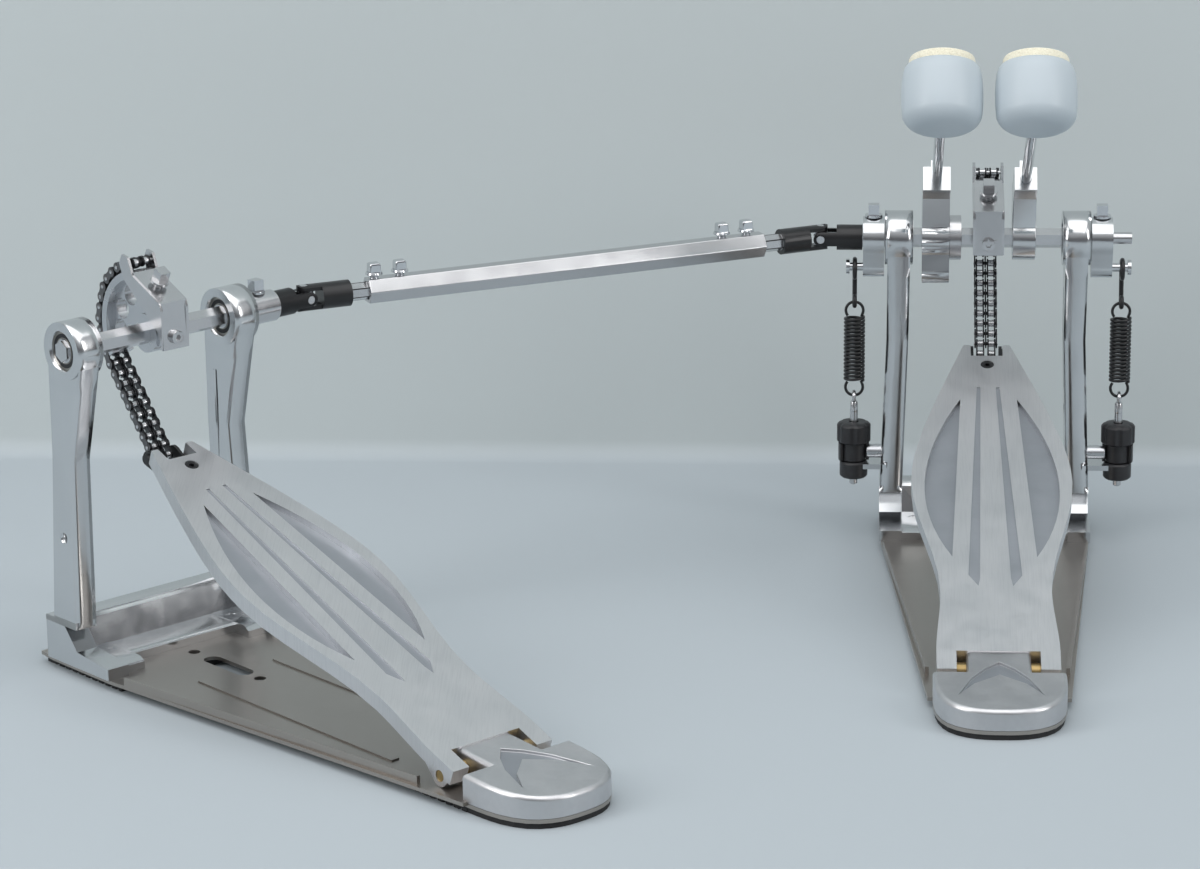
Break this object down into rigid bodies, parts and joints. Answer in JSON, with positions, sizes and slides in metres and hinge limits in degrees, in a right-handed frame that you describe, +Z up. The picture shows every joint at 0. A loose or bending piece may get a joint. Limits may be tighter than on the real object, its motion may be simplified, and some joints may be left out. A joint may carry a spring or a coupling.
{
  "type": "double bass drum pedal",
  "caption": "Double bass drum pedal: a main pedal with chain-driven beaters on a hexagonal axle, joined by a telescopic drive shaft with universal joints to a slave pedal.",
  "frame": {"origin": "on the floor, straight below the middle of the main axle", "axes": "+Z up, +Y towards the drum, +X to the player's right along the main axle"},
  "size_m": [0.5962, 0.5172, 0.3072],
  "materials": {
    "satin_steel": "satin rolled",
    "cast_aluminium": "polished casting",
    "board_aluminium": "brushed",
    "bright_steel": "bright",
    "chrome": "polished",
    "black_steel": "satin black",
    "chain_steel": "oiled black",
    "black_rubber": "matt",
    "brass": "turned",
    "cup_plastic": "light blue grey",
    "felt": "pressed felt",
    "knob_plastic": "moulded"
  },
  "bodies": {
    "root": {"base_plate": "satin_steel", "rubber_pads": "black_rubber", "post_frame": "cast_aluminium", "post_bearings": "black_steel", "heel_plate": "cast_aluminium", "heel_hinge_pins": "brass", "spring_eye_bolts": "bright_steel", "clamp_bolt": "chrome"},
    "jaw_body": {"hoop_clamp_jaw": "black_steel"},
    "right_drive": {"right_axle": "bright_steel", "chain_wheel": "black_steel", "chain_bracket": "bright_steel", "chain_wrap": "chain_steel", "right_beater_hub": "bright_steel", "right_beater_shaft": "chrome", "right_beater_cup": "cup_plastic", "right_beater_felt": "felt", "right_spring_rocker": "black_steel", "right_key_bolts": "chrome"},
    "footboard_body": {"footboard": "board_aluminium", "toe_clevis": "black_steel"},
    "chain_upper_body": {"chain_upper": "chain_steel"},
    "chain_middle_body": {"chain_middle": "chain_steel"},
    "chain_strand_body": {"chain_strand": "chain_steel"},
    "left_drive": {"left_axle": "bright_steel", "left_beater_hub": "bright_steel", "left_beater_shaft": "chrome", "left_beater_cup": "cup_plastic", "left_beater_felt": "felt", "left_spring_rocker": "black_steel", "left_key_bolts": "chrome", "axle_yoke": "black_steel"},
    "main_cross_body": {"main_cross": "bright_steel"},
    "drive_shaft_body": {"drive_tube": "bright_steel", "drive_yoke": "black_steel", "shaft_key_bolts": "chrome"},
    "slave_rod": {"slave_shaft_yoke": "black_steel"},
    "slave_cross_body": {"slave_cross": "bright_steel"},
    "slave_stand": {"slave_base_plate": "satin_steel", "slave_rubber_pads": "black_rubber", "slave_post_frame": "cast_aluminium", "slave_bearings": "black_steel", "slave_heel_plate": "cast_aluminium", "slave_hinge_pins": "brass"},
    "slave_drive": {"slave_axle": "bright_steel", "slave_chain_wheel": "black_steel", "slave_chain_bracket": "bright_steel", "slave_chain_wrap": "chain_steel", "slave_key_bolts": "chrome"},
    "slave_footboard_body": {"slave_footboard": "board_aluminium", "slave_toe_clevis": "black_steel"},
    "slave_chain_upper_body": {"slave_chain_upper": "chain_steel"},
    "slave_chain_middle_body": {"slave_chain_middle": "chain_steel"},
    "slave_chain_strand_body": {"slave_chain_strand": "chain_steel"},
    "left_spring_body": {"left_spring": "black_steel"},
    "left_hook_body": {"left_spring_hook": "black_steel"},
    "right_spring_body": {"right_spring": "black_steel"},
    "right_hook_body": {"right_spring_hook": "black_steel"},
    "left_knob_body": {"left_tension_knob": "knob_plastic"},
    "right_knob_body": {"right_tension_knob": "knob_plastic"}
  },
  "joints": [
    {"name": "right_strike", "type": "hinge", "parent": "root", "child": "right_drive", "pos_m": [0, 0, 0.1785], "axis": [-1, 0, 0], "range_deg": [0, 50], "stiffness_Nm_per_rad": 0.4, "springref_deg": -20.05},
    {"name": "left_strike", "type": "hinge", "parent": "root", "child": "left_drive", "pos_m": [0, 0, 0.1785], "axis": [-1, 0, 0], "range_deg": [0, 50], "stiffness_Nm_per_rad": 0.4, "springref_deg": -20.05},
    {"name": "footboard_hinge", "type": "hinge", "parent": "root", "child": "footboard_body", "pos_m": [0, -0.2685, 0.012], "axis": [-1, 0, 0], "range_deg": [0, 9.34]},
    {"name": "chain_upper_pin", "type": "hinge", "parent": "right_drive", "child": "chain_upper_body", "pos_m": [0, 0.03506, 0.19753], "axis": [1, 0, 0], "range_deg": [0, 17.62]},
    {"name": "chain_middle_pin", "type": "hinge", "parent": "chain_upper_body", "child": "chain_middle_body", "pos_m": [0, 0.04046, 0.17931], "axis": [1, 0, 0], "range_deg": [0, 35.02]},
    {"name": "chain_strand_pin", "type": "hinge", "parent": "chain_middle_body", "child": "chain_strand_body", "pos_m": [0, 0.03244, 0.15534], "axis": [1, 0, 0], "range_deg": [0, 20.02]},
    {"name": "main_cross_pin", "type": "hinge", "parent": "left_drive", "child": "main_cross_body", "pos_m": [-0.0952, 0, 0.1785], "axis": [0, 1, 0], "range_deg": [-21.59, 0]},
    {"name": "shaft_spin", "type": "hinge", "parent": "root", "child": "drive_shaft_body", "pos_m": [-0.0952, 0, 0.1785], "axis": [-0.8886, -0.4586, 0], "range_deg": [0, 53.31]},
    {"name": "shaft_telescope", "type": "slide", "parent": "root", "child": "slave_stand", "axis": [-0.8886, -0.4586, 0], "range_m": [-0.01, 0.05]},
    {"name": "shaft_rod_spin", "type": "hinge", "parent": "slave_stand", "child": "slave_rod", "pos_m": [-0.37423, -0.14402, 0.1785], "axis": [-0.8886, -0.4586, 0], "range_deg": [0, 53.31]},
    {"name": "slave_axle_spin", "type": "hinge", "parent": "slave_stand", "child": "slave_drive", "pos_m": [-0.44483, -0.21582, 0.1785], "axis": [-0.7012, -0.713, 0], "range_deg": [0, 51.9]},
    {"name": "slave_cross_pin", "type": "hinge", "parent": "slave_drive", "child": "slave_cross_body", "pos_m": [-0.37423, -0.14402, 0.1785], "axis": [0.713, -0.7012, 0], "range_deg": [-14.51, 0]},
    {"name": "slave_footboard_hinge", "type": "hinge", "parent": "slave_stand", "child": "slave_footboard_body", "pos_m": [-0.25339, -0.40408, 0.012], "axis": [-0.7012, -0.713, 0], "range_deg": [0, 9.64]},
    {"name": "slave_chain_upper_pin", "type": "hinge", "parent": "slave_drive", "child": "slave_chain_upper_body", "pos_m": [-0.46983, -0.19123, 0.19753], "axis": [0.7012, 0.713, 0], "range_deg": [0, 19.95]},
    {"name": "slave_chain_middle_pin", "type": "hinge", "parent": "slave_chain_upper_body", "child": "slave_chain_middle_body", "pos_m": [-0.47368, -0.18745, 0.17931], "axis": [0.7012, 0.713, 0], "range_deg": [0, 35.02]},
    {"name": "slave_chain_strand_pin", "type": "hinge", "parent": "slave_chain_middle_body", "child": "slave_chain_strand_body", "pos_m": [-0.46796, -0.19307, 0.15534], "axis": [0.7012, 0.713, 0], "range_deg": [0, 20.02]},
    {"name": "left_spring_swing", "type": "hinge", "parent": "root", "child": "left_spring_body", "pos_m": [-0.0755, 0, 0.0845], "axis": [1, 0, 0], "range_deg": [0, 9.05]},
    {"name": "left_spring_stretch", "type": "slide", "parent": "left_spring_body", "child": "left_hook_body", "axis": [0, 0, 1], "range_m": [0, 0.00719], "deforming": ["left_spring"]},
    {"name": "left_knob_turn", "type": "hinge", "parent": "root", "child": "left_knob_body", "pos_m": [-0.0755, 0, 0.045], "axis": [0, 0, 1], "range_deg": [-180, 180]},
    {"name": "right_spring_swing", "type": "hinge", "parent": "root", "child": "right_spring_body", "pos_m": [0.077, 0, 0.0845], "axis": [1, 0, 0], "range_deg": [0, 9.05]},
    {"name": "right_spring_stretch", "type": "slide", "parent": "right_spring_body", "child": "right_hook_body", "axis": [0, 0, 1], "range_m": [0, 0.00719], "deforming": ["right_spring"]},
    {"name": "right_knob_turn", "type": "hinge", "parent": "root", "child": "right_knob_body", "pos_m": [0.077, 0, 0.045], "axis": [0, 0, 1], "range_deg": [-180, 180]},
    {"name": "jaw_pivot", "type": "hinge", "parent": "root", "child": "jaw_body", "pos_m": [0, 0.029, 0.02], "axis": [1, 0, 0], "range_deg": [0, 14]}
  ],
  "couplings": [
    {"joint": "footboard_hinge", "follows": "right_strike", "ratio": 0.18645},
    {"joint": "chain_upper_pin", "follows": "right_strike", "ratio": 0.352},
    {"joint": "chain_middle_pin", "follows": "right_strike", "ratio": 0.7},
    {"joint": "chain_strand_pin", "follows": "right_strike", "ratio": 0.4},
    {"joint": "main_cross_pin", "follows": "left_strike", "ratio": -0.43146},
    {"joint": "shaft_spin", "follows": "left_strike", "ratio": 1.0658},
    {"joint": "shaft_rod_spin", "follows": "left_strike", "ratio": 1.0658},
    {"joint": "slave_axle_spin", "follows": "left_strike", "ratio": 1.0375},
    {"joint": "slave_cross_pin", "follows": "left_strike", "ratio": -0.2897},
    {"joint": "slave_footboard_hinge", "follows": "left_strike", "ratio": 0.19232},
    {"joint": "slave_chain_upper_pin", "follows": "left_strike", "ratio": 0.39856},
    {"joint": "slave_chain_middle_pin", "follows": "left_strike", "ratio": 0.7},
    {"joint": "slave_chain_strand_pin", "follows": "left_strike", "ratio": 0.4},
    {"joint": "left_spring_swing", "follows": "left_strike", "ratio": 0.18052},
    {"joint": "left_spring_stretch", "follows": "left_strike", "m_per_rad": 0.0082323},
    {"joint": "right_spring_swing", "follows": "right_strike", "ratio": 0.18052},
    {"joint": "right_spring_stretch", "follows": "right_strike", "m_per_rad": 0.0082323}
  ]
}
